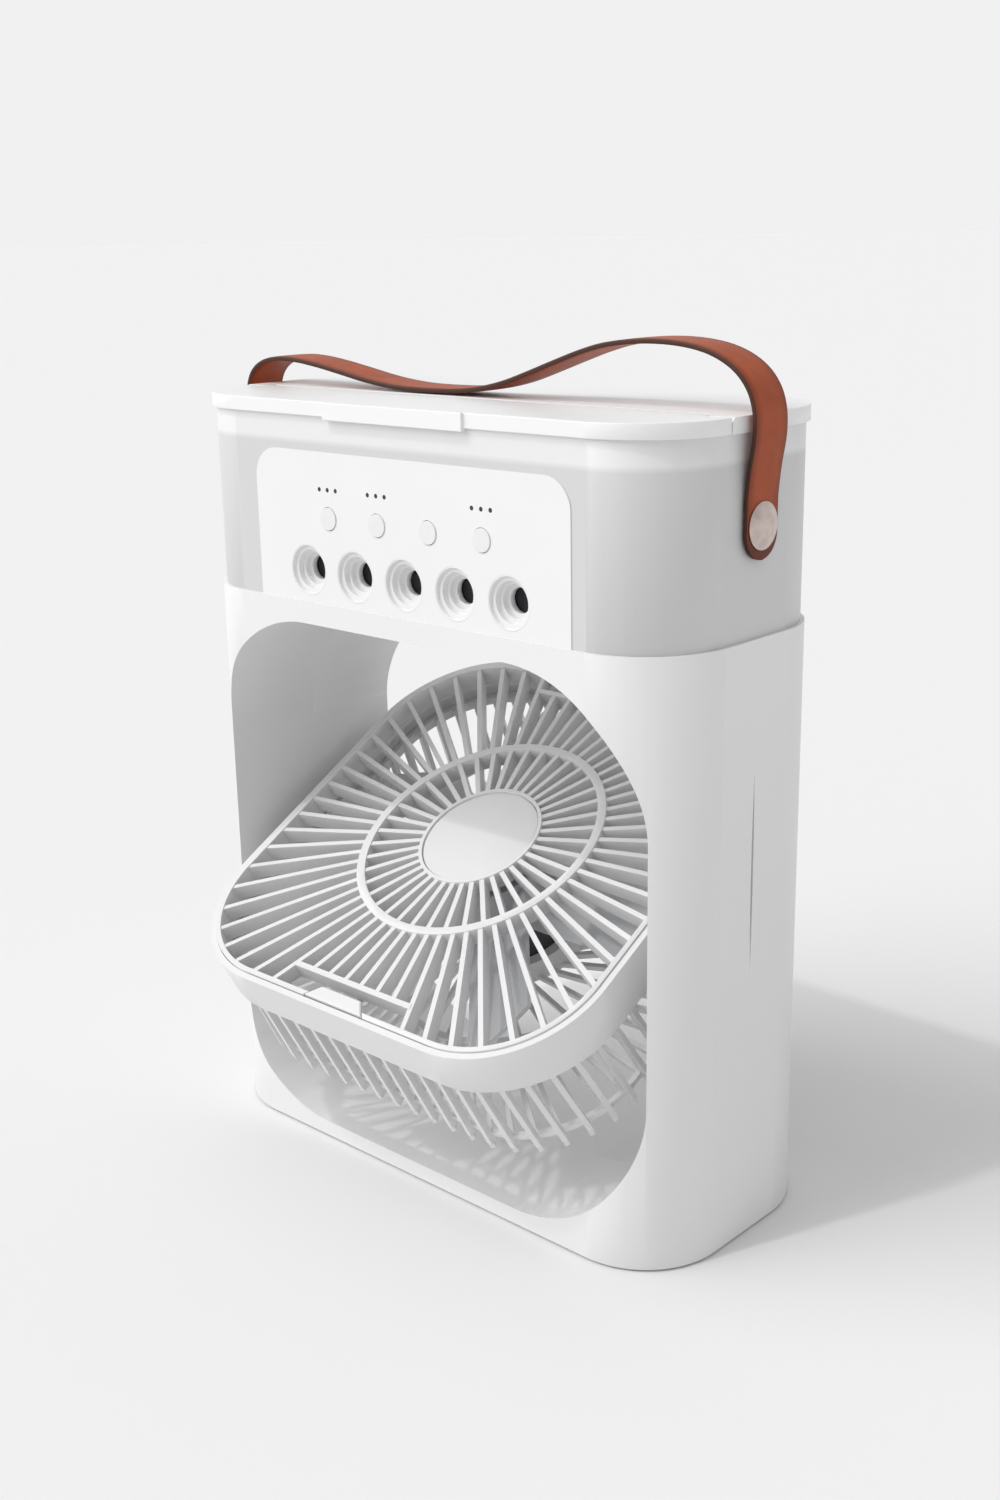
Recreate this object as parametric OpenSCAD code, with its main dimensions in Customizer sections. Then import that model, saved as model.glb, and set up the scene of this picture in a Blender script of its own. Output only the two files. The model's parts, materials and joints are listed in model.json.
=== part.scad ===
// Desktop mist fan: a box casing with a tilting fan head in a window that goes
// right through it, a water tank with a flip-up lid on top, and a carrying strap.
// Frame: +Z up, +X to the right seen from the front, the front faces -Y.
// The origin is the middle of the casing's footprint, on the plane of the feet.

/* [Casing] */
// Width of the casing, side to side
body_w = 210; // [206:1:216]
// Depth of the casing, front to back
body_d = 90.5; // [88:0.5:94]
// Radius of the casing's upright corners
corner_r = 29; // [26:1:32]
// Height of the seam between casing and water tank
seam_z = 198.4; // [197:0.2:202]
// Wall thickness of the casing shells
wall = 2.2; // [2:0.1:2.4]
// Height of the casing's lower edge over the feet
foot_h = 0.8; // [0.6:0.1:1.2]
// Greatest width of the gap where the two casing shells spring apart
side_gap_w = 1.1; // [0.6:0.1:1.6]

/* [Window] */
// Width of the window
window_w = 189.2; // [188:0.2:190]
// Height of the window
window_h = 184.6; // [183:0.2:185]
// Corner radius of the window
window_r = 49.5; // [48:0.5:51]
// Height of the window's centre, which is also the tilt axis
axis_z = 98.6; // [98.4:0.1:99]

/* [Tank and lid] */
// Step from the casing in to the tank on every side
tank_inset = 1.3; // [1:0.1:1.6]
// Height of the tank's upper rim
rim_z = 259.2; // [258:0.2:260]
// Height of the lid's top face
lid_z = 264; // [263.8:0.1:264.4]
// Distance of the lid's cross line in front of the middle
lid_split = 8.7; // [8.6:0.1:9.4]
// Width of the finger tab on the lid
tab_w = 61; // [50:1:70]

/* [Control panel] */
// Width of the control panel
panel_w = 137; // [134:1:140]
// Height of the control panel's upper edge
panel_top = 248; // [246:0.5:249]
// Radius of the panel's upper corners
panel_r = 10; // [8:0.5:12]
// Offset of the panel to the right of the middle
panel_x = 2.2; // [0:0.1:3]
// Setback of the panel's face from the casing's face
panel_in = 1; // [0:0.1:1.2]
// Distance between neighbouring mist nozzles
nozzle_pitch = 22.2; // [21:0.1:23]
// Height of the row of nozzles
nozzle_z = 209; // [208.5:0.1:209.4]
// Distance between neighbouring buttons
button_pitch = 22.5; // [21:0.1:23]
// Height of the row of buttons
button_z = 226.7; // [226:0.1:228]
// Diameter of a button
button_d = 7.3; // [6.5:0.1:8]
// Travel of a button
button_travel = 0.8; // [0.5:0.1:0.8]

/* [Fan head] */
// Width of the fan head
head_w = 169.4; // [164:0.2:170]
// Height of the fan head along its face
head_h = 165.8; // [160:0.2:166]
// Corner radius of the fan head
head_r = 42; // [40:0.5:44]
// Height of the grille's face over the tilt axis
face_z = 21; // [20:0.5:22]
// Backward lean of the fan head from upright
tilt = 61; // [0:1:90]
// Number of slats in the outer zone of the front grille
slat_n = 60; // [48:12:72]
// Number of slats in the inner zone of the front grille
inner_slat_n = 40; // [36:4:48]
// Number of ribs round the rear guard
rib_n = 68; // [60:4:84]
// Number of fan blades
blade_n = 7; // [5:1:9]

/* [Strap] */
// Width of the carrying strap
strap_w = 16; // [14:0.5:16.4]
// Thickness of the carrying strap
strap_t = 2.2; // [1.8:0.1:2.4]
// Diameter of a rivet's head
rivet_d = 14.2; // [12:0.2:14.6]

/* [Hidden] */
$fn = 96;

white = [0.93, 0.93, 0.94];
shade = [0.84, 0.84, 0.85];
frosted = [0.80, 0.81, 0.82, 0.75];
leather = [0.66, 0.33, 0.18];
rosy = [0.80, 0.72, 0.70];
steel = [0.70, 0.70, 0.72];
rubber = [0.13, 0.13, 0.13];
dark = [0.16, 0.16, 0.17];

eps = 0.01;
far = 400;
fit = 0.05;        // radial clearance of a running fit
play = 0.3;        // gap between parts that move past each other

front_y = -body_d / 2;
casing_bottom = foot_h;

// base
floor_t = 2.2;
foot_d = 12;
foot_in = 1;
foot_x = body_w / 2 - 24;
foot_y = body_d / 2 - 15;
post_r = 4;
screw_r = 1.25;
screw_head_r = 2.5;
base_screw_x = 62;
base_screw_y = 36;
base_screw_len = 5;
screw_head_t = 1.2;

// casing screws come in from the rear, above and below the window
casing_screw_x = 82;
casing_screw_low_z = 13;
casing_screw_high_z = 189;
casing_screw_len = 16;
casing_screw_sink = 38;

// tank
tank_wall = 2;
tank_floor = 2.4;
tank_w = body_w - 2 * tank_inset;
tank_d = body_d - 2 * tank_inset;
tank_r = corner_r - tank_inset;
seal_t = 0.8;
seal_w = 2;
tank_z = seam_z;
bay_wall = 2;
bay_depth = 20;
bay_w = panel_w - 4;
bay_top = panel_top - 2;
bay_bottom = tank_z + 1.8;
bay_back = front_y + tank_inset + bay_depth;

// lid
lid_top_t = 2.2;
lid_skirt = 2;
lid_lip = 1.6;
lid_lip_h = 4;
lid_line = -lid_split;
lid_roll_r = 2.6;
lid_axis_y = lid_line - play - lid_roll_r;
lid_axis_z = lid_z - lid_roll_r;
lid_pin_r = 1.2;
cheek_w = 9;
cheek_x = body_w / 2 - cheek_w;
cheek_y = lid_axis_y - lid_roll_r - play;
cheek_nose_r = lid_roll_r + 0.6;
flap_gap = 0.5;
tab_proud = 1;
tab_drop = 0.8;

// control panel
panel_lip = tank_inset - panel_in;
panel_step = 1.4;
panel_t = panel_lip + panel_step;
nozzle_n = 5;
ring_r = 8.5;
ring_step_r = [8, 6.5, 5.25, 4];
ring_step_z = [0, 1.2, 3, 5];
ring_seat_z = 7.2;
ring_len = 10;
disc_r = 6.2;
disc_t = 0.8;
seal_ring_t = 1.5;
wick_r = 3.3;
wick_len = 42;
sleeve_r = 4.8;
sleeve_in = 3.5;
button_proud = 0.4;
button_head = 2.7;
flange_r = button_d / 2 + 1;
flange_t = 0.9;
stem_r = 1.4;
stem_len = 2.6;
board_t = 1.6;
board_w = 124;
board_h = 24;
board_z = 231.5;
switch_size = 6;
switch_t = 3.4;
plunger_r = 1.7;
plunger_t = 1;
plunger_z = panel_t + 0.1 + flange_t + stem_len + 0.9;
board_front = plunger_z + plunger_t + switch_t;
dot_d = 1.5;
dot_pitch = 3.8;
dot_z = 236;
dot_len = 4;
dotted_columns = [-1.5, -0.5, 1.5];

// tilt joint
pin_r = 4;
boss_r = 10;
boss_gap = 0.3;
bush_r = 7;
bush_flange_r = 9;
bush_flange_t = 1.6;
stop_t = 1.3;
lug_w = 3.2;
lug_r = 11.6;
tilt_up = 29;      // travel from rest to face up
tilt_down = 61;    // travel from rest to face forward
lug_angle = 90;
stop_margin = 23;  // half the lug and half the rib, with a little room
pivot_screw_r = 1.5;

// fan head, in its own frame: origin on the tilt axis, +Z out of the face, +Y up the face
head_wall = 2.2;
shell_top = face_z - 0.6;
shell_bottom = 4;
grille_inset = 2.4;
grille_frame = 1.7;
grille_depth = 7;
grille_bottom = face_z - grille_depth;
slat_t = 1.7;
slat_depth = 6;
ring_mid_r = 44;
ring_w = 3;
hub_r = 22.5;
hub_ring_w = 1.2;
hub_cap_r = hub_r - hub_ring_w - 0.25;
slat_angle = 360 / slat_n;
pocket_edge = 71.5;
bar_t = 2;
latch_in = 75.2;
latch_in_w = 18;
latch_out = head_h / 2 - grille_inset - 0.2;
latch_out_w = 27;
latch_proud = 0.4;
latch_t = 4;
guard_bottom = -29;
guard_plate_t = 2.4;
guard_inset = 2.2;
guard_ring_r = 52;
rib_w = 1.8;
rib_t = 2.6;
rib_lean = 6;      // sideways lean of a rib, towards its lower end
rib_splay = 3;     // outward lean of a rib, towards its lower end
guard_ring_z = -25;
guard_ring_t = 2;
rear_rib_w = 1.6;
rear_swirl = 35;
outer_swirl = -10;
rib_set = 0.1;     // setback of a rear rib's faces from the ring's
motor_r = 21;
motor_seat_r = 25;
motor_bottom = guard_bottom + guard_plate_t;
motor_top = motor_bottom + 17;
shaft_r = 1.6;
hub_bottom = motor_top + 1;
hub_top = face_z - grille_depth - 1.4;
fan_hub_r = 22;
blade_tip_r = 75;
blade_pitch = 32;
blade_t = 1.5;
blade_chord = 30;
blade_mid_z = (hub_bottom + hub_top) / 2;
nut_r = 4.5;
nut_t = 2.4;

// strap: middle of its thickness, x and z, from the right rivet over the lid to the left one
rivet_z = 232;
strap_end = 10;
strap_path = [
    [105, rivet_z - strap_end], [105, 232], [105, 240.5], [106, 249], [107.4, 257.5], [107.2, 265],
    [104.8, 271.5], [99.5, 277], [91, 281], [80, 283], [67, 283.3], [54, 282], [44, 279.6],
    [33, 276], [22, 272.2], [12, 269], [2, 266.8], [-8, 265.6], [-20, 265.2], [-32, 265.3],
    [-42, 266], [-52, 267.3], [-64, 269.4], [-76, 271.4], [-87, 272.7], [-97, 272.8],
    [-105, 271], [-110.3, 267.2], [-112.6, 261.5], [-112.2, 255], [-109.6, 248.6], [-106.4, 243.6],
    [-105, 240], [-105, 232], [-105, rivet_z - strap_end]
];
rivet_post_r = 2.5;
rivet_dome_h = 1.9;
rivet_boss_r = 7.5;
rivet_boss_t = 5;

// power inlet in the rear casing
inlet_x = -72;
inlet_z = 6.6;
inlet_w = 9;
inlet_h = 3.3;
inlet_depth = 7.3;
inlet_board_w = 12;
inlet_board_d = 15;
lead_r = 1.2;
lead_bend_r = 1.32;
lead_x = -60;
lead_y = front_y + panel_in + board_front + board_t / 2;
side_x = -99.6;

// ---------- shared shapes ----------

module rounded_rect(w, h, r) {
    square([w - 2 * r, h], center = true);
    square([w, h - 2 * r], center = true);
    for (sx = [-1, 1], sy = [-1, 1])
        translate([sx * (w / 2 - r), sy * (h / 2 - r)]) circle(r);
}

module upright_block(inset, z0, z1) {
    translate([0, 0, z0])
        linear_extrude(z1 - z0)
            rounded_rect(body_w - 2 * inset, body_d - 2 * inset, corner_r - inset);
}

module window_bore(grow) {
    translate([0, 0, axis_z])
        rotate([90, 0, 0])
            linear_extrude(2 * body_d, center = true)
                rounded_rect(window_w + 2 * grow, window_h + 2 * grow, window_r + grow);
}

// +Z of the children runs inwards from the face of the control panel
module from_panel(x, z) {
    translate([panel_x + x, front_y + panel_in, z]) rotate([-90, 0, 0]) children();
}

// children stand on the fan head: origin on the tilt axis, +Z out of the face
module on_head() {
    translate([0, 0, axis_z]) rotate([90 - tilt, 0, 0]) children();
}

// +Z of the children runs outwards along the tilt axis
module along_pivot(side) {
    translate([0, 0, axis_z]) rotate([0, side * 90, 0]) children();
}

module at_nozzles() {
    for (i = [0 : nozzle_n - 1])
        from_panel((i - (nozzle_n - 1) / 2) * nozzle_pitch, nozzle_z) children();
}

module at_buttons() {
    for (i = [-1.5 : 1 : 1.5]) from_panel(i * button_pitch, button_z) children();
}

module tube(r_out, r_in, z0, z1) {
    translate([0, 0, z0])
        difference() {
            cylinder(r = r_out, h = z1 - z0);
            translate([0, 0, -1]) cylinder(r = r_in, h = z1 - z0 + 2);
        }
}

module rod(r, z0, z1) {
    translate([0, 0, z0]) cylinder(r = r, h = z1 - z0);
}

module screw(len) {
    rod(screw_r, 0, len);
    rod(screw_head_r, 0, screw_head_t);
}

// a bar between two points, for wires
module wire_run(a, b, r) {
    d = b - a;
    len = norm(d);
    translate(a)
        rotate([0, acos(d[2] / len), atan2(d[1], d[0])])
            cylinder(r = r, h = len);
}

// ---------- casing ----------

module side_gap() {
    gap_mid_z = 125;
    gap_h = 66;
    sag = side_gap_w / 2;
    big_r = (pow(gap_h / 2, 2) + sag * sag) / (2 * sag);
    for (side = [-1, 1])
        translate([side * body_w / 2, 0, gap_mid_z])
            rotate([0, 90, 0])
                intersection() {
                    translate([0, big_r - sag]) cylinder(r = big_r, h = 3 * wall, center = true);
                    translate([0, sag - big_r]) cylinder(r = big_r, h = 3 * wall, center = true);
                }
}

// four feet near the corners and one in the middle
module at_feet() {
    children();
    for (sx = [-1, 1], sy = [-1, 1]) translate([sx * foot_x, sy * foot_y, 0]) children();
}

module at_base_screws() {
    for (sx = [-1, 1], sy = [-1, 1]) translate([sx * base_screw_x, sy * base_screw_y, 0]) children();
}

module at_casing_screws() {
    for (sx = [-1, 1], z = [casing_screw_low_z, casing_screw_high_z])
        translate([sx * casing_screw_x, body_d / 2, z]) rotate([90, 0, 0]) children();
}

module casing_body() {
    difference() {
        intersection() {
            upright_block(0, casing_bottom, seam_z);
            union() {
                difference() {
                    upright_block(0, casing_bottom, seam_z);
                    upright_block(wall, casing_bottom - 1, seam_z - wall);
                }
                window_bore(wall);
                at_casing_screws() rod(post_r, 0, body_d);
                at_base_screws() rod(post_r, casing_bottom + floor_t, axis_z / 2);
            }
        }
        window_bore(0);
        side_gap();
        for (side = [-1, 1])
            along_pivot(side) rod(bush_r, window_w / 2 - 1, window_w / 2 + wall + 1);
        at_casing_screws() {
            rod(screw_r, -1, casing_screw_sink + casing_screw_len + 1);
            rod(screw_head_r + 0.1, -1, casing_screw_sink + screw_head_t);
        }
        at_base_screws() rod(screw_r, 0, casing_bottom + base_screw_len + 0.3);
        translate([inlet_x, body_d / 2, inlet_z])
            rotate([90, 0, 0]) linear_extrude(2 * wall + 1, center = true) inlet_section(0.3);
        lead_hole();
    }
}

// the lead's way up from the casing into the dry bay of the tank
module lead_hole() {
    translate([lead_x, lead_y, seam_z - wall - 1]) cylinder(r = lead_r + 0.6, h = wall + tank_floor + 2);
}

module front_casing() {
    color(white)
        intersection() {
            casing_body();
            translate([-body_w, -body_d, 0]) cube([2 * body_w, body_d, far]);
        }
}

module rear_casing() {
    color(white)
        intersection() {
            casing_body();
            translate([-body_w, 0, 0]) cube([2 * body_w, body_d, far]);
        }
}

module base_plate() {
    color(shade)
        difference() {
            upright_block(wall + 0.1, casing_bottom, casing_bottom + floor_t);
            at_feet() translate([0, 0, casing_bottom - 1]) cylinder(d = foot_d, h = foot_in + 1);
            at_base_screws() {
                rod(screw_r, 0, far);
                rod(screw_head_r + 0.1, 0, casing_bottom + screw_head_t);
            }
        }
}

module rubber_feet() {
    color(rubber)
        at_feet()
            rotate_extrude()
                polygon([[0, 0], [foot_d / 2 - 0.6, 0], [foot_d / 2 - 0.1, 0.5],
                         [foot_d / 2 - 0.1, foot_h + foot_in], [0, foot_h + foot_in]]);
}

module base_screws() {
    color(steel) at_base_screws() translate([0, 0, casing_bottom]) screw(base_screw_len);
}

module casing_screws() {
    color(steel)
        at_casing_screws() translate([0, 0, casing_screw_sink]) screw(casing_screw_len);
}

// ---------- water tank and lid ----------

module tank_block(inset, z0, z1) {
    translate([0, 0, z0])
        linear_extrude(z1 - z0)
            rounded_rect(tank_w - 2 * inset, tank_d - 2 * inset, tank_r - inset);
}

// room behind the control panel; grow adds its walls, and reach runs it out through the front
module bay(grow, reach) {
    h = bay_top - bay_bottom + 2 * grow;
    y0 = front_y + tank_inset - reach;
    translate([panel_x, y0, (bay_top + bay_bottom) / 2])
        rotate([-90, 0, 0])
            linear_extrude(bay_back + grow - y0)
                rounded_rect(bay_w + 2 * grow, h, panel_r - 2 + grow);
}

module tank_body() {
    color(frosted)
        difference() {
            tank_block(0, tank_z, rim_z);
            difference() {
                tank_block(tank_wall, tank_z + tank_floor, rim_z + 1);
                bay(bay_wall, 0);
                for (side = [-1, 1])
                    translate([side * tank_w / 2, 0, rivet_z])
                        rotate([0, -side * 90, 0]) rod(rivet_boss_r, 0, rivet_boss_t + 2);
            }
            bay(0, 5);
            seal_band();
            lead_hole();
            at_nozzles() rod(sleeve_r, bay_depth - 2, bay_depth + bay_wall + panel_lip + 2);
            for (side = [-1, 1])
                translate([side * (tank_w / 2 + 1), 0, rivet_z])
                    rotate([0, -side * 90, 0]) rod(rivet_post_r, 0, rivet_boss_t + 1);
        }
}

// the seal lies in a groove under the tank's floor
module seal_band() {
    difference() {
        tank_block(tank_wall + 0.4, tank_z, tank_z + seal_t);
        tank_block(tank_wall + 0.4 + seal_w, tank_z - 1, tank_z + seal_t + 1);
    }
}

module tank_seal() {
    color(rubber) seal_band();
}

module lid_half(y0, y1) {
    intersection() {
        union() {
            difference() {
                upright_block(0, rim_z, lid_z);
                upright_block(lid_skirt, rim_z - 1, lid_z - lid_top_t);
            }
            children();
        }
        translate([-body_w, y0, 0]) cube([2 * body_w, y1 - y0, far]);
    }
}

module fixed_lid() {
    color(white)
        difference() {
            union() {
                lid_half(lid_line, body_d) {
                    difference() {
                        tank_block(tank_wall + play, rim_z - lid_lip_h, lid_z - 1);
                        tank_block(tank_wall + play + lid_lip, rim_z - lid_lip_h - 1, lid_z - lid_top_t);
                    }
                    translate([-cheek_x, lid_line, rim_z]) cube([2 * cheek_x, 1.8, lid_z - rim_z - 1]);
                }
                intersection() {
                    upright_block(0, rim_z, lid_z);
                    union() {
                        translate([-body_w, lid_axis_y, 0]) cube([2 * body_w, body_d, far]);
                        translate([0, lid_axis_y, lid_axis_z])
                            rotate([0, 90, 0]) rod(cheek_nose_r, -body_w, body_w);
                    }
                    for (side = [-1, 1])
                        translate([side * (cheek_x + cheek_w), lid_line, rim_z])
                            mirror([side > 0 ? 1 : 0, 0, 0])
                                translate([0, cheek_y - lid_line, 0])
                                    cube([cheek_w, lid_line - cheek_y + 1, lid_z - rim_z]);
                }
            }
            translate([0, lid_axis_y, lid_axis_z])
                rotate([0, 90, 0]) rod(lid_pin_r, -cheek_x - 5, cheek_x + 5);
        }
}

module lid_hinge_pin() {
    color(steel)
        translate([0, lid_axis_y, lid_axis_z])
            rotate([0, 90, 0]) rod(lid_pin_r, -cheek_x - 5, cheek_x + 5);
}

module lid_flap() {
    roll_w = 2 * (cheek_x - play);
    color(white)
        difference() {
            union() {
                intersection() {
                    difference() {
                        upright_block(0, rim_z + 0.1, lid_z);
                        upright_block(lid_skirt, rim_z - 1, lid_z - lid_top_t);
                    }
                    union() {
                        translate([-body_w, -body_d, 0]) cube([2 * body_w, body_d + cheek_y - flap_gap, far]);
                        translate([-roll_w / 2, cheek_y - flap_gap - 1, lid_z - lid_top_t])
                            cube([roll_w, lid_axis_y - cheek_y + flap_gap + 1, lid_top_t]);
                    }
                }
                translate([-roll_w / 2, lid_axis_y, lid_axis_z]) rotate([0, 90, 0]) rod(lid_roll_r, 0, roll_w);
                translate([-tab_w / 2, front_y - tab_proud, rim_z - tab_drop])
                    cube([tab_w, tab_proud + 1, lid_z - rim_z + tab_drop]);
            }
            translate([0, lid_axis_y, lid_axis_z]) rotate([0, 90, 0]) rod(lid_pin_r + fit, -body_w, body_w);
        }
}

// ---------- control panel ----------

module panel_outline(inset) {
    h = panel_top - seam_z;
    difference() {
        translate([0, -panel_r]) rounded_rect(panel_w - 2 * inset, h + 2 * panel_r - 2 * inset, panel_r - inset);
        translate([-panel_w, -far - h / 2 + inset]) square([2 * panel_w, far]);
    }
}

module panel_slab(inset, z0, z1) {
    mid = (panel_top + seam_z) / 2;
    translate([panel_x, front_y + panel_in + z0, mid])
        rotate([90, 0, 0]) mirror([0, 0, 1]) linear_extrude(z1 - z0) panel_outline(inset);
}

module control_panel() {
    color(white)
        difference() {
            union() {
                panel_slab(0, 0, panel_lip);
                intersection() {
                    panel_slab(0, 0, panel_t);
                    bay(-0.15, 5);
                }
            }
            at_nozzles() rod(ring_r, -1, panel_t + 1);
            at_buttons() rod(button_d / 2 + 0.2, -1, panel_t + 1);
            at_dots() rod(dot_d / 2, -1, panel_t + 1);
        }
}

module at_dots() {
    for (column = dotted_columns, i = [-1 : 1])
        from_panel(column * button_pitch + i * dot_pitch, dot_z) children();
}

// stepped cup, open at the front, with a seat for the mist disc behind its last step
module nozzle_rings() {
    last = len(ring_step_r) - 1;
    color(white)
        at_nozzles()
            difference() {
                union() {
                    rod(ring_r, 0, panel_t + 0.8);
                    rod(ring_r - 1.2, 0, ring_len);
                }
                for (i = [0 : last]) rod(ring_step_r[i], ring_step_z[i] - (i == 0 ? 1 : 0), i < last ? ring_step_z[i + 1] + eps : ring_seat_z + eps);
                rod(disc_r, ring_seat_z, ring_len + 1);
            }
}

module mist_discs() {
    color(dark) at_nozzles() rod(disc_r - 0.05, ring_seat_z, ring_seat_z + disc_t);
}

module disc_seals() {
    z0 = ring_seat_z + disc_t;
    color(rubber) at_nozzles() tube(disc_r - 0.05, wick_r + 0.2, z0, z0 + seal_ring_t);
}

module wick_sleeves() {
    z0 = ring_seat_z + disc_t + seal_ring_t;
    color(shade) at_nozzles() tube(sleeve_r, sleeve_in, z0, bay_depth + bay_wall + panel_lip);
}

module wicks() {
    z0 = ring_seat_z + disc_t;
    color([0.95, 0.94, 0.9]) at_nozzles() rod(wick_r, z0, z0 + wick_len);
}

module indicator_lenses() {
    color(dark) at_dots() rod(dot_d / 2, 0.1, dot_len);
}

module control_board() {
    color([0.10, 0.30, 0.18])
        from_panel(0, board_z)
            translate([-board_w / 2, -board_h / 2, board_front]) cube([board_w, board_h, board_t]);
}

module button_switches() {
    color(dark)
        at_buttons() {
            translate([-switch_size / 2, -switch_size / 2, plunger_z + plunger_t]) cube([switch_size, switch_size, switch_t]);
            rod(plunger_r, plunger_z, plunger_z + plunger_t);
        }
}

module push_button(column) {
    color([0.86, 0.86, 0.87])
        from_panel(column * button_pitch, button_z) {
            rod(button_d / 2, -button_proud, panel_t + 0.1 + eps);
            rod(flange_r, panel_t + 0.1, panel_t + 0.1 + flange_t);
            rod(stem_r, panel_t + 0.1 + flange_t - eps, panel_t + 0.1 + flange_t + stem_len);
        }
}

module timer_button() { push_button(-1.5); }
module mist_button() { push_button(-0.5); }
module light_button() { push_button(0.5); }
module speed_button() { push_button(1.5); }

// ---------- power ----------

module inlet_section(grow) {
    rounded_rect(inlet_w + 2 * grow, inlet_h + 2 * grow, inlet_h / 2 + grow - 0.02);
}

module power_inlet() {
    color(steel)
        translate([inlet_x, body_d / 2 - 0.4, inlet_z])
            rotate([90, 0, 0])
                difference() {
                    linear_extrude(inlet_depth) inlet_section(0);
                    translate([0, 0, -1]) linear_extrude(inlet_depth - 0.8 + 1) inlet_section(-0.35);
                }
    color(dark)
        translate([inlet_x - 3, body_d / 2 - inlet_depth + 0.3, inlet_z - 0.35]) cube([6, 5, 0.7]);
}

module inlet_board() {
    color([0.10, 0.30, 0.18])
        translate([inlet_x - inlet_board_w / 2, body_d / 2 - wall - inlet_board_d - 0.3, inlet_z - inlet_h / 2 - board_t])
            cube([inlet_board_w, inlet_board_d, board_t]);
}

// runs round the window inside the casing's wall, from the inlet to the control board
module power_lead() {
    z0 = inlet_z - inlet_h / 2 + lead_bend_r;
    y0 = body_d / 2 - wall - inlet_board_d + 2;
    deck_z = seam_z - wall - lead_bend_r - 0.1;
    path = [[inlet_x, y0, z0], [-90, y0, z0], [side_x, 22, 46], [side_x, 22, 178], [-91, -6, deck_z], [-74, -24, deck_z], [lead_x, lead_y, deck_z],
            [lead_x, lead_y, board_z - board_h / 2 - lead_bend_r]];
    color(dark) {
        for (i = [0 : len(path) - 2]) wire_run(path[i], path[i + 1], lead_r);
        for (i = [0 : len(path) - 1]) translate(path[i]) sphere(lead_bend_r);
    }
}

// ---------- strap ----------

function unit(v) = v / norm(v);
function heading(i) = unit(strap_path[min(i + 1, len(strap_path) - 1)] - strap_path[max(i - 1, 0)]);
function strap_side(k) = [for (i = [0 : len(strap_path) - 1])
    strap_path[i] + k * strap_t / 2 * [-heading(i)[1], heading(i)[0]]];
function reversed(list) = [for (i = [len(list) - 1 : -1 : 0]) list[i]];

module strap() {
    color(leather)
        difference() {
            intersection() {
                rotate([90, 0, 0])
                    linear_extrude(strap_w, center = true)
                        polygon(concat(strap_side(1), reversed(strap_side(-1))));
                rotate([90, 0, 90])
                    linear_extrude(far, center = true) {
                        translate([-strap_w / 2, rivet_z - strap_end + strap_w / 2]) square([strap_w, far / 2]);
                        translate([0, rivet_z - strap_end + strap_w / 2]) circle(d = strap_w);
                    }
            }
            translate([-far / 2, 0, rivet_z]) rotate([0, 90, 0]) rod(rivet_post_r, 0, far);
        }
}

module rivet(side) {
    outer = strap_path[1][0] + strap_t / 2;
    dome_r = (pow(rivet_d / 2, 2) + pow(rivet_dome_h, 2)) / (2 * rivet_dome_h);
    color(rosy)
        translate([0, 0, rivet_z])
            rotate([0, side * 90, 0]) {
                intersection() {
                    translate([0, 0, outer + rivet_dome_h - dome_r]) sphere(dome_r);
                    rod(rivet_d / 2, outer, outer + rivet_dome_h + 1);
                }
                rod(rivet_post_r, tank_w / 2 - rivet_boss_t, outer + eps);
            }
}

module right_rivet() { rivet(1); }
module left_rivet() { rivet(-1); }

// ---------- tilt joint ----------

wall_in = window_w / 2;
wall_out = window_w / 2 + wall;
flange_top = wall_out + bush_flange_t;
stop_bottom = flange_top + 0.1;
stop_top = stop_bottom + stop_t;

// a block that sticks out from the tilt axis at an angle counted from +Y towards +Z
module lug(side, angle, r0, r1, z0, z1) {
    along_pivot(side)
        rotate([0, 0, side > 0 ? 90 + angle : 90 - angle])
            translate([r0, -lug_w / 2, z0]) cube([r1 - r0, lug_w, z1 - z0]);
}

module bush(side) {
    color(shade) {
        difference() {
            union() {
                along_pivot(side) rod(bush_r - 0.02, wall_in, wall_out + eps);
                along_pivot(side) rod(bush_flange_r, wall_out, flange_top);
                lug(side, lug_angle - tilt_up - stop_margin, bush_flange_r - 0.5, lug_r, wall_out, stop_top);
                lug(side, lug_angle + tilt_down + stop_margin, bush_flange_r - 0.5, lug_r, wall_out, stop_top);
            }
            along_pivot(side) rod(pin_r + fit, 0, far);
        }
    }
}

module right_bush() { bush(1); }
module left_bush() { bush(-1); }

module pivot(side) {
    color(white)
        along_pivot(side)
            difference() {
                union() {
                    rod(boss_r, head_w / 2, wall_in - boss_gap);
                    rod(boss_r + 2, head_w / 2 - head_wall - 2.5, head_w / 2 - head_wall);
                    rod(pin_r, head_w / 2 - head_wall - 1, stop_bottom);
                }
                rod(pivot_screw_r, stop_bottom - 8, far);
            }
}

module right_pivot() { pivot(1); }
module left_pivot() { pivot(-1); }

module tilt_stops() {
    color(steel)
        for (side = [-1, 1]) {
            along_pivot(side) tube(bush_r + 0.6, pivot_screw_r, stop_bottom, stop_top);
            lug(side, lug_angle, bush_r - 0.5, lug_r, stop_bottom, stop_top);
        }
}

module pivot_screws() {
    color(steel)
        for (side = [-1, 1])
            along_pivot(side) {
                rod(pivot_screw_r, stop_bottom - 8, stop_top);
                rod(pivot_screw_r * 2, stop_top, stop_top + 1.2);
            }
}

// ---------- fan head ----------

module head_outline(inset) {
    rounded_rect(head_w - 2 * inset, head_h - 2 * inset, head_r - inset);
}

module head_band(inset, w, z0, z1) {
    translate([0, 0, z0])
        linear_extrude(z1 - z0)
            difference() {
                head_outline(inset);
                head_outline(inset + w);
            }
}

module pivot_holes() {
    for (side = [-1, 1])
        rotate([0, side * 90, 0]) rod(pin_r, head_w / 2 - head_wall - 5, head_w / 2 + 5);
}

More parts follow.
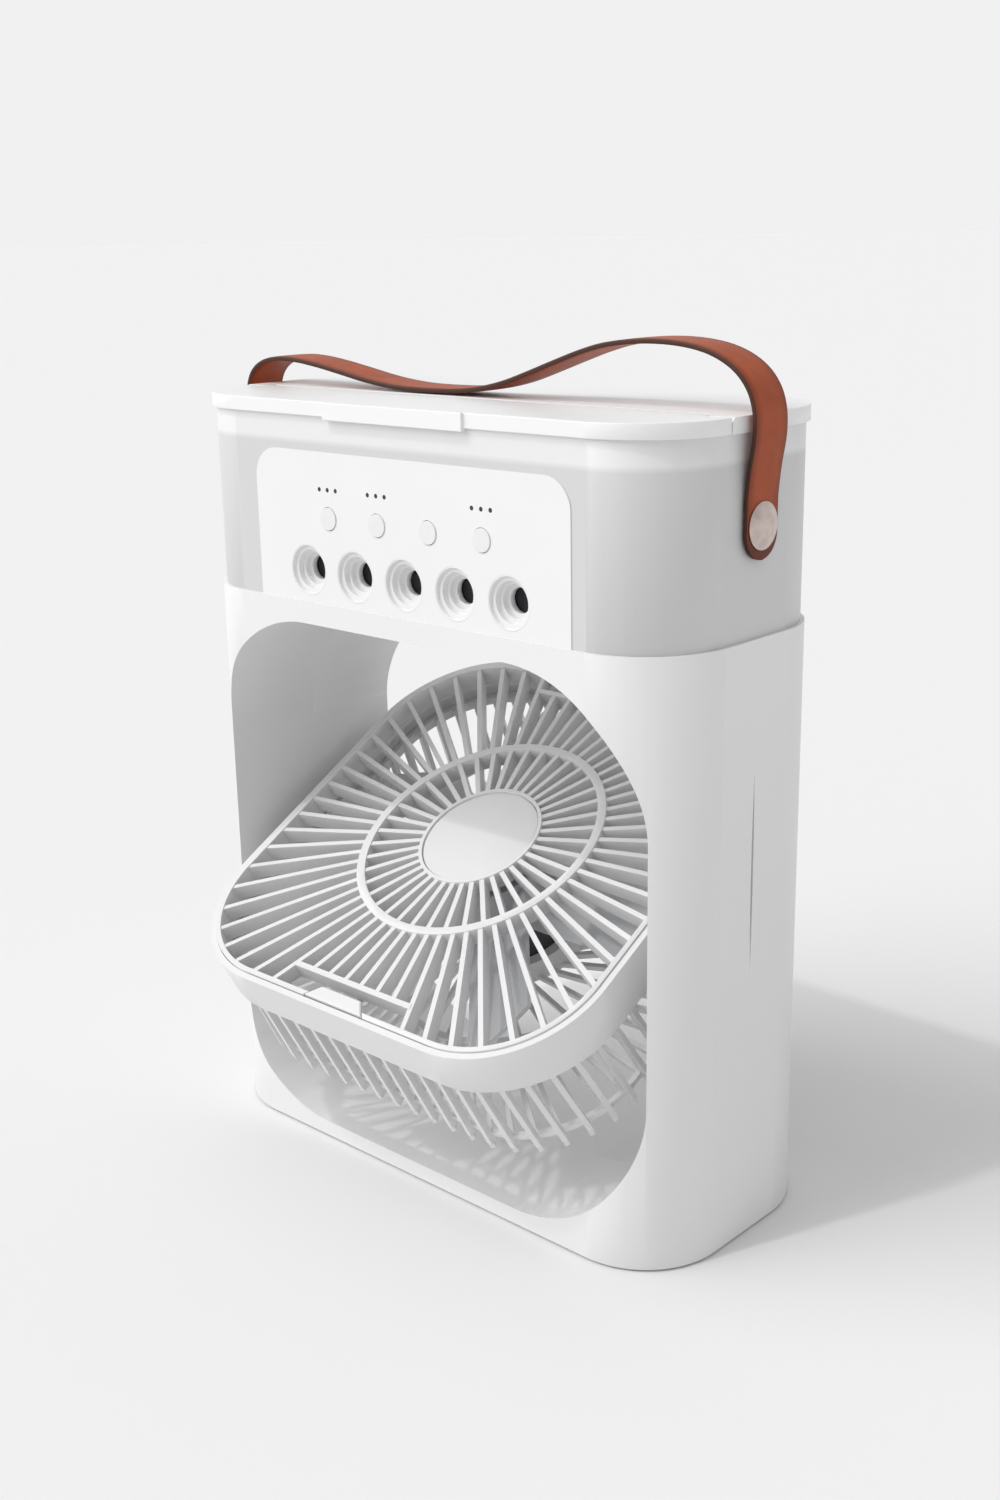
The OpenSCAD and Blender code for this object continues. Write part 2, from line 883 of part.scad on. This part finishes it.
// the rim, with an ear on each side that carries the pivot and a ledge that carries the grille
module head_shell() {
    color(white)
        on_head()
            difference() {
                union() {
                    head_band(0, head_wall, shell_bottom, shell_top);
                    head_band(0, grille_inset + grille_frame, grille_bottom - 2, grille_bottom);
                    for (side = [-1, 1])
                        rotate([0, side * 90, 0]) rod(boss_r + 2, head_w / 2 - head_wall, head_w / 2);
                }
                pivot_holes();
            }
}

// the gap left between the slats beside the latch, closed off by a bar
module pocket(v0, v1, side_gap_u) {
    half = 3.5 * slat_angle;
    for (turn = [0, 180])
        rotate([0, 0, turn])
            translate([0, 0, grille_bottom - 1])
                linear_extrude(grille_depth + 2)
                    polygon([[-v0 * tan(half) + side_gap_u, v0], [v0 * tan(half) - side_gap_u, v0],
                             [v1 * tan(half) - side_gap_u, v1], [-v1 * tan(half) + side_gap_u, v1]]);
}

// half the latch's width, at a distance from the head's middle
function latch_half(v) =
    latch_in_w / 2 + (latch_out_w - latch_in_w) / 2 * (v - latch_in) / (latch_out - latch_in);

// both latches, or the room they fit in, which is larger by a gap all round
module latch_shape(gap, z0, z1) {
    v0 = latch_in - gap;
    v1 = latch_out + 4 * gap;
    for (turn = [0, 180])
        rotate([0, 0, turn])
            translate([0, 0, z0])
                linear_extrude(z1 - z0)
                    polygon([[-latch_half(v0) - 2 * gap, v0], [latch_half(v0) + 2 * gap, v0],
                             [latch_half(v1) + 2 * gap, v1], [-latch_half(v1) - 2 * gap, v1]]);
}

module slats(n, r0, r1) {
    for (i = [0 : n - 1])
        rotate([0, 0, (i + 0.5) * 360 / n])
            translate([r0, -slat_t / 2, face_z - slat_depth]) cube([r1 - r0, slat_t, slat_depth - 0.4]);
}

module front_grille() {
    edge_in = head_h / 2 - grille_inset - grille_frame;
    color(white)
        on_head()
            difference() {
                union() {
                    head_band(grille_inset, grille_frame, grille_bottom, face_z);
                    difference() {
                        intersection() {
                            slats(slat_n, ring_mid_r - 0.3, head_w);
                            linear_extrude(far) head_outline(grille_inset + grille_frame / 2);
                        }
                        pocket(pocket_edge, edge_in + 0.1, slat_t / 2);
                    }
                    intersection() {
                        pocket(pocket_edge - bar_t, pocket_edge, 0);
                        rod(head_w, face_z - slat_depth - 0.2, face_z - 0.2);
                    }
                    slats(inner_slat_n, hub_r - hub_ring_w / 3, ring_mid_r + 0.3);
                    tube(ring_mid_r + ring_w / 2, ring_mid_r - ring_w / 2, face_z - slat_depth - 0.4, face_z);
                    tube(hub_r, hub_r - hub_ring_w, face_z - slat_depth - 0.4, face_z);
                    rod(hub_r - hub_ring_w / 2, face_z - slat_depth + 1, face_z - 3);
                }
                latch_shape(0.2, face_z - latch_t - 0.2, face_z + 1);
            }
}

module hub_cap() {
    color(white)
        on_head()
            rotate_extrude()
                polygon([[0, face_z - 3], [hub_cap_r, face_z - 3], [hub_cap_r, face_z - 0.8],
                         [hub_cap_r - 0.4, face_z - 0.5], [0, face_z - 0.3]]);
}

// snap tabs that hold the grille in the rim
module grille_latches() {
    color(white) on_head() latch_shape(0, face_z - latch_t, face_z + latch_proud);
}

// point and outward angle on the head's outline, inset, at a share of the way round
function outline_point(s, inset) =
    let (a = head_w - 2 * head_r, b = head_h - 2 * head_r, r = head_r - inset, q = PI / 2 * r,
         quarter = a / 2 + q + b / 2, quadrant = floor(s * 4) % 4, t = (s * 4 - floor(s * 4)) * quarter,
         odd = quadrant % 2 == 1, first = odd ? b / 2 : a / 2, hx = odd ? head_h / 2 : head_w / 2,
         hy = odd ? head_w / 2 : head_h / 2, corner = min(max((t - first) / r * 180 / PI, 0), 90),
         local = t < first ? [t, hy - inset]
               : t < first + q ? [hx - head_r + r * sin(corner), hy - head_r + r * cos(corner)]
               : [hx - inset, hy - head_r - (t - first - q)])
    [local, corner, quadrant];

// ribs on the flat back between the seat of the motor and the ring
module inner_rear_ribs() {
    for (i = [0 : rib_n / 2 - 1])
        rotate([0, 0, i * 720 / rib_n])
            translate([motor_seat_r - 1, 0, guard_bottom])
                rotate([0, 0, rear_swirl])
                    translate([0, -rear_rib_w / 2, rib_set]) cube([head_w, rear_rib_w, guard_plate_t - 2 * rib_set]);
}

// ribs on the flat back from the ends of the side ribs in to the ring
module outer_rear_ribs() {
    for (i = [0 : rib_n - 1]) {
        foot = outline_point((i + 0.5) / rib_n, guard_inset - 0.4);
        start = foot[0];
        turn = atan2(start[1], start[0]) + outer_swirl;
        run = guard_ring_r * [cos(turn), sin(turn)] - start;
        rotate([0, 0, -90 * foot[2]])
            translate([start[0], start[1], guard_bottom])
                rotate([0, 0, atan2(run[1], run[0])])
                    translate([0, -rear_rib_w / 2, 2 * rib_set])
                        cube([norm(run) + 0.7, rear_rib_w, guard_plate_t - 2 * rib_set]);
    }
}

// the flat back, with its ring, its ribs and the seat for the motor
module rear_guard() {
    top = guard_bottom + guard_plate_t;
    color(white)
        on_head()
            difference() {
                union() {
                    outer_rear_ribs();
                    intersection() {
                        inner_rear_ribs();
                        rod(guard_ring_r, guard_bottom, top);
                    }
                    tube(guard_ring_r + 1.2, guard_ring_r - 1.2, guard_bottom, top + 1);
                    rod(motor_seat_r, guard_bottom, top);
                    tube(motor_seat_r, motor_r + 0.2, guard_bottom, top + 6);
                }
                at_motor_screws() rod(screw_r, guard_bottom - 1, motor_bottom + 1);
                rod(4, guard_bottom - 1, motor_bottom + 1);
            }
}

// ribs round the side, from inside the rim to the flat back, tied by a thin ring
module guard_ribs() {
    low = guard_bottom + guard_plate_t;
    rib_len = shell_bottom - low + 12;
    color(white)
        on_head()
            difference() {
                union() {
                    intersection() {
                        for (i = [0 : rib_n - 1]) {
                            foot = outline_point((i + 0.5) / rib_n, guard_inset + rib_t / 2 - 0.6);
                            rotate([0, 0, -90 * foot[2]])
                                translate([foot[0][0], foot[0][1], low])
                                    rotate([0, 0, -foot[1]])
                                        rotate([rib_splay, rib_lean, 0])
                                            translate([-rib_w / 2, -rib_t / 2, -4]) cube([rib_w, rib_t, rib_len]);
                        }
                        translate([0, 0, low])
                            linear_extrude(shell_bottom - low + 3) head_outline(0.2);
                        union() {
                            rod(head_w, low - 1, shell_bottom - 0.2);
                            linear_extrude(far) head_outline(head_wall + 0.1);
                        }
                    }
                    head_band(guard_inset + rib_t - 0.9, 1.8, guard_ring_z, guard_ring_z + guard_ring_t);
                    head_band(head_wall + 0.1, 2.6, shell_bottom, shell_bottom + 3.2);
                }
                for (side = [-1, 1])
                    rotate([0, side * 90, 0]) rod(boss_r + 2.4, head_w / 2 - 14, head_w / 2 + 5);
            }
}

// ---------- motor and impeller ----------

module at_motor_screws() {
    for (turn = [45, 225]) rotate([0, 0, turn]) translate([15, 0, 0]) children();
}

module motor() {
    color(dark)
        on_head()
            difference() {
                union() {
                    rod(motor_r, motor_bottom, motor_top - 2);
                    rod(motor_r - 3, motor_top - 2 - eps, motor_top);
                }
                rod(shaft_r + fit, motor_bottom + 2, motor_top + 1);
                at_motor_screws() rod(screw_r, motor_bottom - 1, motor_bottom + 5);
            }
}

module motor_screws() {
    color(steel)
        on_head()
            at_motor_screws() {
                rod(screw_r, guard_bottom, motor_bottom + 4.5);
                rod(screw_head_r, guard_bottom - 1, guard_bottom);
            }
}

module motor_shaft() {
    color(steel) on_head() rod(shaft_r, motor_bottom + 2.2, hub_top + 0.8);
}

module impeller() {
    color(shade)
        on_head()
            difference() {
                union() {
                    difference() {
                        rod(fan_hub_r, hub_bottom, hub_top - 1);
                        rod(fan_hub_r - 2, hub_bottom - 1, hub_top - 3);
                    }
                    rod(3.6, hub_bottom, hub_top - 1);
                    intersection() {
                        for (i = [0 : blade_n - 1])
                            rotate([0, 0, i * 360 / blade_n])
                                translate([fan_hub_r - 1.6, 0, blade_mid_z])
                                    rotate([blade_pitch, 0, 0])
                                        translate([0, -blade_chord / 2, -blade_t / 2])
                                            cube([blade_tip_r, blade_chord, blade_t]);
                        difference() {
                            rod(blade_tip_r, hub_bottom, hub_top);
                            rod(fan_hub_r - 1.8, hub_bottom - 1, hub_top + 1);
                        }
                    }
                }
                rod(shaft_r, hub_bottom - 1, hub_top + 1);
            }
}

module impeller_nut() {
    color(dark) on_head() tube(nut_r, shaft_r, hub_top - 1, hub_top - 1 + nut_t);
}

front_casing();
rear_casing();
base_plate();
rubber_feet();
base_screws();
casing_screws();
tank_body();
tank_seal();
fixed_lid();
lid_hinge_pin();
lid_flap();
control_panel();
nozzle_rings();
mist_discs();
disc_seals();
wick_sleeves();
wicks();
indicator_lenses();
control_board();
button_switches();
timer_button();
mist_button();
light_button();
speed_button();
power_inlet();
inlet_board();
power_lead();
strap();
right_rivet();
left_rivet();
right_bush();
left_bush();
right_pivot();
left_pivot();
tilt_stops();
pivot_screws();
head_shell();
front_grille();
hub_cap();
grille_latches();
rear_guard();
guard_ribs();
motor();
motor_screws();
motor_shaft();
impeller();
impeller_nut();
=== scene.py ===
import json
import math

import bmesh
import bpy
from mathutils import Matrix, Vector


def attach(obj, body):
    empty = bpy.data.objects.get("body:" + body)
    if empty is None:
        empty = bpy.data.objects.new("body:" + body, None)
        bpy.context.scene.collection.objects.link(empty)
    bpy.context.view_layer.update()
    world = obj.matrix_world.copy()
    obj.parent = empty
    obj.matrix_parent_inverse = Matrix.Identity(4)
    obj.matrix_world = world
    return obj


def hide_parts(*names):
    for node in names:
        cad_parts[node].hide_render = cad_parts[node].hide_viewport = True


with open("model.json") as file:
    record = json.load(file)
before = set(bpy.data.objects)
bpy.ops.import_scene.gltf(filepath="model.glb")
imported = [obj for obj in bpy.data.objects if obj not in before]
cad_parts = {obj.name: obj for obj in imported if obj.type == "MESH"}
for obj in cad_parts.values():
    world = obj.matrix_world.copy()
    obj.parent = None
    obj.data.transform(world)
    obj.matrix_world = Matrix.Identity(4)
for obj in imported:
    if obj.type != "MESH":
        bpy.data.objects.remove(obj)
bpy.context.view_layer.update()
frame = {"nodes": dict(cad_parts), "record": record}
NODES = frame["nodes"]
SCENE = bpy.context.scene

MM = 0.001
STRAP_HALF_W = 7.9 * MM
RIVET_Z = 232 * MM
LIP_BOTTOM = 250 * MM


# ---------------------------------------------------------------- camera, light, floor

def add_camera():
    """The photograph's angle: from the right front, a little above, turned a touch."""
    eye = Vector((0.3913, -0.4215, 0.3152))
    yaw, pitch, roll = 0.7471, -0.2881, -0.0187
    flat = math.cos(pitch)
    forward = Vector((-math.sin(yaw) * flat, math.cos(yaw) * flat, math.sin(pitch)))
    level = Vector((math.cos(yaw), math.sin(yaw), 0))
    upright = level.cross(forward)
    right = level * math.cos(roll) + upright * math.sin(roll)
    up = upright * math.cos(roll) - level * math.sin(roll)
    data = bpy.data.cameras.new("camera")
    data.lens = 42.15
    data.sensor_width = 36
    data.clip_start = 0.01
    data.dof.use_dof = False
    cam = bpy.data.objects.new("camera", data)
    turn = Matrix((right, up, -forward)).transposed()
    cam.matrix_world = Matrix.Translation(eye) @ turn.to_4x4()
    SCENE.collection.objects.link(cam)
    SCENE.camera = cam


def add_sun(name, direction, power, spread_deg):
    """A distant lamp: it lights the floor evenly all the way out."""
    data = bpy.data.lights.new(name, "SUN")
    data.energy = power
    data.angle = math.radians(spread_deg)
    lamp = bpy.data.objects.new(name, data)
    lamp.rotation_euler = Vector(direction).to_track_quat("Z", "Y").to_euler()
    SCENE.collection.objects.link(lamp)


def add_studio(horizon, ceiling, dim, dim_side):
    """A pale wall up to low height, a greyer ceiling over it, and one dim side."""
    world = bpy.data.worlds.new("studio")
    SCENE.world = world
    world.use_nodes = True
    tree = world.node_tree
    coords = tree.nodes.new("ShaderNodeTexCoord")
    axes = tree.nodes.new("ShaderNodeSeparateXYZ")
    tree.links.new(coords.outputs["Generated"], axes.inputs["Vector"])
    height = ramp(tree, axes.outputs["Z"], (horizon,) * 3, (ceiling,) * 3, 0.18, 0.42)
    facing = tree.nodes.new("ShaderNodeVectorMath")
    facing.operation = "DOT_PRODUCT"
    facing.inputs[1].default_value = Vector(dim_side).normalized()
    tree.links.new(coords.outputs["Generated"], facing.inputs[0])
    shade = blend(tree, step(tree, facing.outputs["Value"], 0.1, 0.95), height, (dim,) * 3)
    back = tree.nodes["Background"]
    tree.links.new(shade, back.inputs["Color"])
    back.inputs["Strength"].default_value = 1.0


def add_floor(tone):
    half = 60.0
    corners = ((-half, -half, 0), (half, -half, 0), (half, half, 0), (-half, half, 0))
    mesh = bpy.data.meshes.new("floor")
    bm = bmesh.new()
    bm.faces.new([bm.verts.new(corner) for corner in corners])
    bm.to_mesh(mesh)
    bm.free()
    floor = bpy.data.objects.new("floor", mesh)
    SCENE.collection.objects.link(floor)
    mat, tree, shader = new_material("floor_paint", (tone, tone, tone), 0.9)
    shader.inputs["Specular IOR Level"].default_value = 0.1
    mesh.materials.append(mat)


# ---------------------------------------------------------------- materials

def new_material(name, colour, roughness, metallic=0.0):
    mat = bpy.data.materials.new(name)
    mat.use_nodes = True
    tree = mat.node_tree
    shader = tree.nodes["Principled BSDF"]
    shader.inputs["Base Color"].default_value = (*colour, 1)
    shader.inputs["Roughness"].default_value = roughness
    shader.inputs["Metallic"].default_value = metallic
    return mat, tree, shader


def noise(tree, scale, detail=2.0, rough=0.5, stretch=(1, 1, 1)):
    coords = tree.nodes.new("ShaderNodeTexCoord")
    place = tree.nodes.new("ShaderNodeMapping")
    place.inputs["Scale"].default_value = stretch
    tree.links.new(coords.outputs["Object"], place.inputs["Vector"])
    tex = tree.nodes.new("ShaderNodeTexNoise")
    tex.inputs["Scale"].default_value = scale
    tex.inputs["Detail"].default_value = detail
    tex.inputs["Roughness"].default_value = rough
    tree.links.new(place.outputs["Vector"], tex.inputs["Vector"])
    return tex.outputs["Fac"]


def ramp(tree, fac, low, high, start=0.3, end=0.7):
    node = tree.nodes.new("ShaderNodeValToRGB")
    node.color_ramp.elements[0].position = start
    node.color_ramp.elements[1].position = end
    node.color_ramp.elements[0].color = (*low, 1)
    node.color_ramp.elements[1].color = (*high, 1)
    tree.links.new(fac, node.inputs["Fac"])
    return node.outputs["Color"]


def step(tree, value, start, end):
    """0 below start, 1 above end, straight between."""
    node = tree.nodes.new("ShaderNodeMapRange")
    node.inputs["From Min"].default_value = start
    node.inputs["From Max"].default_value = end
    tree.links.new(value, node.inputs["Value"])
    return node.outputs["Result"]


def blend(tree, fac, under, colour):
    """From the colour of a socket to a fixed colour."""
    node = tree.nodes.new("ShaderNodeMix")
    node.data_type = "RGBA"
    tree.links.new(fac, node.inputs[0])
    tree.links.new(under, node.inputs[6])
    node.inputs[7].default_value = (*colour, 1)
    return node.outputs[2]


def object_axis(tree, axis):
    coords = tree.nodes.new("ShaderNodeTexCoord")
    axes = tree.nodes.new("ShaderNodeSeparateXYZ")
    tree.links.new(coords.outputs["Object"], axes.inputs["Vector"])
    return axes.outputs[axis]


def spread(tree, fac, low, high):
    node = tree.nodes.new("ShaderNodeMapRange")
    node.inputs["To Min"].default_value = low
    node.inputs["To Max"].default_value = high
    tree.links.new(fac, node.inputs["Value"])
    return node.outputs["Result"]


def bump(tree, shader, height, strength, distance):
    node = tree.nodes.new("ShaderNodeBump")
    node.inputs["Strength"].default_value = strength
    node.inputs["Distance"].default_value = distance
    tree.links.new(height, node.inputs["Height"])
    tree.links.new(node.outputs["Normal"], shader.inputs["Normal"])


def moulded(name, colour, roughness=0.42, vary=0.02, grain=0.25):
    """Moulded plastic: a fine spark-eroded grain and faint flow marks."""
    mat, tree, shader = new_material(name, colour, roughness)
    low = tuple(max(c - vary, 0) for c in colour)
    tree.links.new(ramp(tree, noise(tree, 14, 3), low, colour), shader.inputs["Base Color"])
    worn = spread(tree, noise(tree, 60, 4), roughness - 0.06, roughness + 0.08)
    tree.links.new(worn, shader.inputs["Roughness"])
    bump(tree, shader, noise(tree, 2600, 2), grain, 0.00004)
    shader.inputs["IOR"].default_value = 1.5
    return mat


MATERIALS = {}


def make_materials():
    m = MATERIALS
    m["casing"] = moulded("casing_abs", (0.77, 0.765, 0.77))
    m["lid"] = moulded("lid_abs", (0.82, 0.82, 0.825), 0.35)
    m["panel"] = moulded("panel_abs", (0.79, 0.79, 0.795), 0.38, grain=0.15)
    m["button"] = moulded("button_abs", (0.755, 0.755, 0.76), 0.38)
    m["head"] = moulded("head_abs", (0.74, 0.735, 0.74), 0.4)
    m["impeller"] = moulded("impeller_pp", (0.62, 0.63, 0.64), 0.45)
    m["bush"] = moulded("acetal", (0.72, 0.72, 0.71), 0.35)
    m["silicone"] = moulded("silicone", (0.5, 0.5, 0.5), 0.6)
    m["rubber"] = moulded("foot_rubber", (0.03, 0.03, 0.03), 0.75, 0.01, 0.5)
    m["black_plastic"] = moulded("black_plastic", (0.03, 0.03, 0.032), 0.45, 0.01)
    m["motor"] = moulded("motor_paint", (0.05, 0.05, 0.055), 0.35, 0.01)
    m["board"] = moulded("solder_mask", (0.02, 0.12, 0.05), 0.3, 0.01)
    m["wick"] = moulded("felt", (0.75, 0.73, 0.68), 0.9, 0.08, 1.0)
    m["steel"] = brushed("steel", (0.55, 0.55, 0.57), 0.3)
    m["rivet"] = brushed("rivet_nickel", (0.62, 0.52, 0.49), 0.32)
    m["disc"] = brushed("disc_metal", (0.04, 0.04, 0.043), 0.4)
    tan, brown = (0.42, 0.078, 0.018), (0.29, 0.050, 0.012)
    m["leather"] = leather("strap_leather", tan, brown, STRAP_HALF_W)
    cut, cut_dark = (0.13, 0.044, 0.024), (0.08, 0.028, 0.016)
    m["leather_edge"] = leather("strap_edge", cut, cut_dark, STRAP_HALF_W)
    m["tank"] = frosted_plastic()


def brushed(name, colour, roughness):
    mat, tree, shader = new_material(name, colour, roughness, 1.0)
    low = tuple(c * 0.8 for c in colour)
    tree.links.new(ramp(tree, noise(tree, 300, 4), low, colour), shader.inputs["Base Color"])
    worn = spread(tree, noise(tree, 900, 3), roughness - 0.08, roughness + 0.12)
    tree.links.new(worn, shader.inputs["Roughness"])
    bump(tree, shader, noise(tree, 1500, 2), 0.15, 0.00003)
    return mat


def leather(name, light, dark, half_width):
    """Smooth-grained tan leather: fine pores, slow colour clouds, darker towards the long edges,
    and painted shade on the ends around and below the rivets.
    """
    mat, tree, shader = new_material(name, light, 0.5)
    tone = ramp(tree, noise(tree, 70, 6, 0.62), dark, light, 0.25, 0.75)
    across = tree.nodes.new("ShaderNodeMath")
    across.operation = "ABSOLUTE"
    tree.links.new(object_axis(tree, "Y"), across.inputs[0])
    # mask: darker towards the long edges, plus painted shade on the strap's ends
    edges_and_end_shade = tree.nodes.new("ShaderNodeMath")
    edges_and_end_shade.operation = "MAXIMUM"
    near_edge = step(tree, across.outputs[0], half_width * 0.6, half_width * 1.2)
    # painted shade: the strap is darkened from a little above the rivets downwards, where its ends
    # lie in shade
    end_shade_mask = step(tree, object_axis(tree, "Z"), RIVET_Z + 6 * MM, RIVET_Z - 6 * MM)
    tree.links.new(near_edge, edges_and_end_shade.inputs[0])
    tree.links.new(end_shade_mask, edges_and_end_shade.inputs[1])
    # one darker brown for both the long edges and the painted shade on the ends
    edge_and_shade_brown = tuple(c * 0.4 for c in dark)
    tree.links.new(blend(tree, edges_and_end_shade.outputs[0], tone, edge_and_shade_brown), shader.inputs["Base Color"])
    tree.links.new(spread(tree, noise(tree, 350, 4), 0.42, 0.6), shader.inputs["Roughness"])
    shader.inputs["Specular IOR Level"].default_value = 0.3
    cells = tree.nodes.new("ShaderNodeTexVoronoi")
    cells.feature = "DISTANCE_TO_EDGE"
    cells.inputs["Scale"].default_value = 1500
    coords = tree.nodes.new("ShaderNodeTexCoord")
    tree.links.new(coords.outputs["Object"], cells.inputs["Vector"])
    bump(tree, shader, cells.outputs["Distance"], 0.5, 0.00012)
    return mat


def frosted_plastic():
    """Frosted polypropylene: cloudy, paler where the lid's lip lies behind it."""
    mat, tree, shader = new_material("tank_frosted", (0.60, 0.60, 0.61), 0.3)
    low, high = (0.585, 0.583, 0.592), (0.605, 0.603, 0.612)
    cloud = ramp(tree, noise(tree, 4, 1), low, high, 0.2, 0.8)
    lip = step(tree, object_axis(tree, "Z"), LIP_BOTTOM, LIP_BOTTOM + 2 * MM)
    tree.links.new(blend(tree, lip, cloud, (0.74, 0.74, 0.74)), shader.inputs["Base Color"])
    tree.links.new(spread(tree, noise(tree, 60, 4), 0.36, 0.48), shader.inputs["Roughness"])
    bump(tree, shader, noise(tree, 2600, 2), 0.2, 0.00004)
    return mat


def paint_nodes():
    for entry in frame["record"]["subparts"]:
        mesh = NODES[entry["node"]].data
        mesh.materials.clear()
        mesh.materials.append(MATERIALS[entry["material_slot"]])


# ---------------------------------------------------------------- leather strap

# the middle of the strap's thickness, x and z in millimetres, from the right end to the left
STRAP_RUN = [(105, 222), (105, 226), (105, 232), (105, 237), (105.1, 241), (106, 249),
             (107.4, 257.5), (107.2, 265), (104.8, 271.5), (99.5, 277), (91, 281), (80, 283),
             (67, 283.3), (54, 282), (44, 279.6),
             (33, 276), (22, 272.2), (12, 269), (2, 266.8), (-8, 265.6), (-20, 265.2), (-32, 265.3),
             (-42, 266), (-52, 267.3), (-64, 269.4), (-76, 271.4), (-87, 272.7), (-97, 272.8),
             (-105, 271), (-110.3, 267.2), (-112.6, 261.5), (-112.2, 255), (-109.6, 248.6),
             (-106.4, 243.6), (-105, 239.5), (-105, 232), (-105, 226), (-105, 222)]


def smooth_run(points, per_span):
    """Catmull-Rom through the points."""
    out = []
    pts = [Vector(p) for p in points]
    for i in range(len(pts) - 1):
        a = pts[max(i - 1, 0)]
        b, c = pts[i], pts[i + 1]
        d = pts[min(i + 2, len(pts) - 1)]
        for k in range(per_span):
            t = k / per_span
            square, cube = 2 * a - 5 * b + 4 * c - d, 3 * b - a - 3 * c + d
            out.append(0.5 * (2 * b + (c - a) * t + square * t * t + cube * t ** 3))
    out.append(pts[-1])
    return out


def strap_section(half_w, half_t):
    """Across the strap: flat faces a little crowned, edges cut square and softly rounded."""
    edge, bulge, steps = min(0.45, half_w * 0.4), 0.12, 6
    right = []
    for k in range(4):
        turn = math.radians(30 * k)
        right.append((half_w - edge + edge * math.sin(turn), half_t - edge + edge * math.cos(turn)))
    left = [(-x, y) for x, y in right[::-1]]
    shares = [-1 + 2 * k / steps for k in range(1, steps)]
    crown = [((half_w - edge) * share, half_t + bulge * (1 - share ** 2)) for share in shares]
    upper = left + crown + right
    lower = [(-x, -y) for x, y in upper]
    return upper + lower


def build_strap():
    """A leather band of one thickness, with round ends, along STRAP_RUN."""
    half_w, half_t, tip_w = STRAP_HALF_W / MM, 0.75, 0.7
    run = smooth_run(STRAP_RUN, 5)
    length = [0.0]
    for a, b in zip(run, run[1:]):
        length.append(length[-1] + (b - a).length)
    bm = bmesh.new()
    rings = []
    for i, centre in enumerate(run):
        ahead = run[min(i + 1, len(run) - 1)] - run[max(i - 1, 0)]
        ahead.normalize()
        normal = Vector((-ahead.y, ahead.x)) * -1
        from_end = min(length[i], length[-1] - length[i])
        short = max(half_w - from_end, 0)
        wide = max(math.sqrt(half_w ** 2 - short ** 2), tip_w)
        ring = []
        for across, out in strap_section(wide, half_t):
            place = centre + normal * out
            ring.append(bm.verts.new((place.x * MM, across * MM, place.y * MM)))
        rings.append(ring)
    count = len(rings[0])
    for a, b in zip(rings, rings[1:]):
        for k in range(count):
            bm.faces.new((a[k], a[(k + 1) % count], b[(k + 1) % count], b[k]))
    bm.faces.new(rings[0][::-1])
    bm.faces.new(rings[-1])
    bmesh.ops.recalc_face_normals(bm, faces=bm.faces)
    mesh = bpy.data.meshes.new("leather_strap")
    bm.to_mesh(mesh)
    bm.free()
    mesh.materials.append(MATERIALS["leather"])
    mesh.materials.append(MATERIALS["leather_edge"])
    for poly in mesh.polygons:
        poly.use_smooth = True
        cut_edge = abs(poly.normal.y) > 0.45 or poly.loop_total != 4
        poly.material_index = 1 if cut_edge else 0
    obj = bpy.data.objects.new("leather_strap", mesh)
    SCENE.collection.objects.link(obj)
    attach(obj, "casing")
    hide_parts("strap")


# ---------------------------------------------------------------- moulded edges

def soften(node, width, steps=2, angle=35):
    """Round the moulded edges of a CAD node."""
    obj = NODES[node]
    weld = obj.modifiers.new("weld", "WELD")
    weld.merge_threshold = 0.000002
    flat = obj.modifiers.new("flat", "DECIMATE")
    flat.decimate_type = "DISSOLVE"
    flat.angle_limit = math.radians(0.6)
    edge = obj.modifiers.new("edge", "BEVEL")
    edge.width = width
    edge.segments = steps
    edge.limit_method = "ANGLE"
    edge.angle_limit = math.radians(angle)
    edge.harden_normals = True


def soften_nodes():
    soften("tank_body", 0.0003)
    soften("front_casing", 0.0010, 3)
    soften("rear_casing", 0.0010, 3)
    soften("fixed_lid", 0.0006)
    soften("lid_flap", 0.0010, 3)
    soften("control_panel", 0.00025)
    soften("nozzle_rings", 0.0002)
    soften("head_shell", 0.0005)
    soften("front_grille", 0.0003)
    soften("grille_latches", 0.0006, 3)
    soften("guard_ribs", 0.0003)
    soften("rear_guard", 0.0003)
    soften("hub_cap", 0.00015)
    for name in ("timer", "mist", "light", "speed"):
        soften(name + "_button", 0.00015)


SCENE.view_settings.view_transform = "Standard"
add_camera()
add_studio(0.88, 0.66, 0.60, (0.75, -0.65, 0.15))
add_floor(0.783)
add_sun("key", (-0.62, -0.72, 0.75), 1.7, 50)
add_sun("spot", (-0.20, -0.51, 1.0), 0.50, 2)
make_materials()
paint_nodes()
build_strap()
soften_nodes()
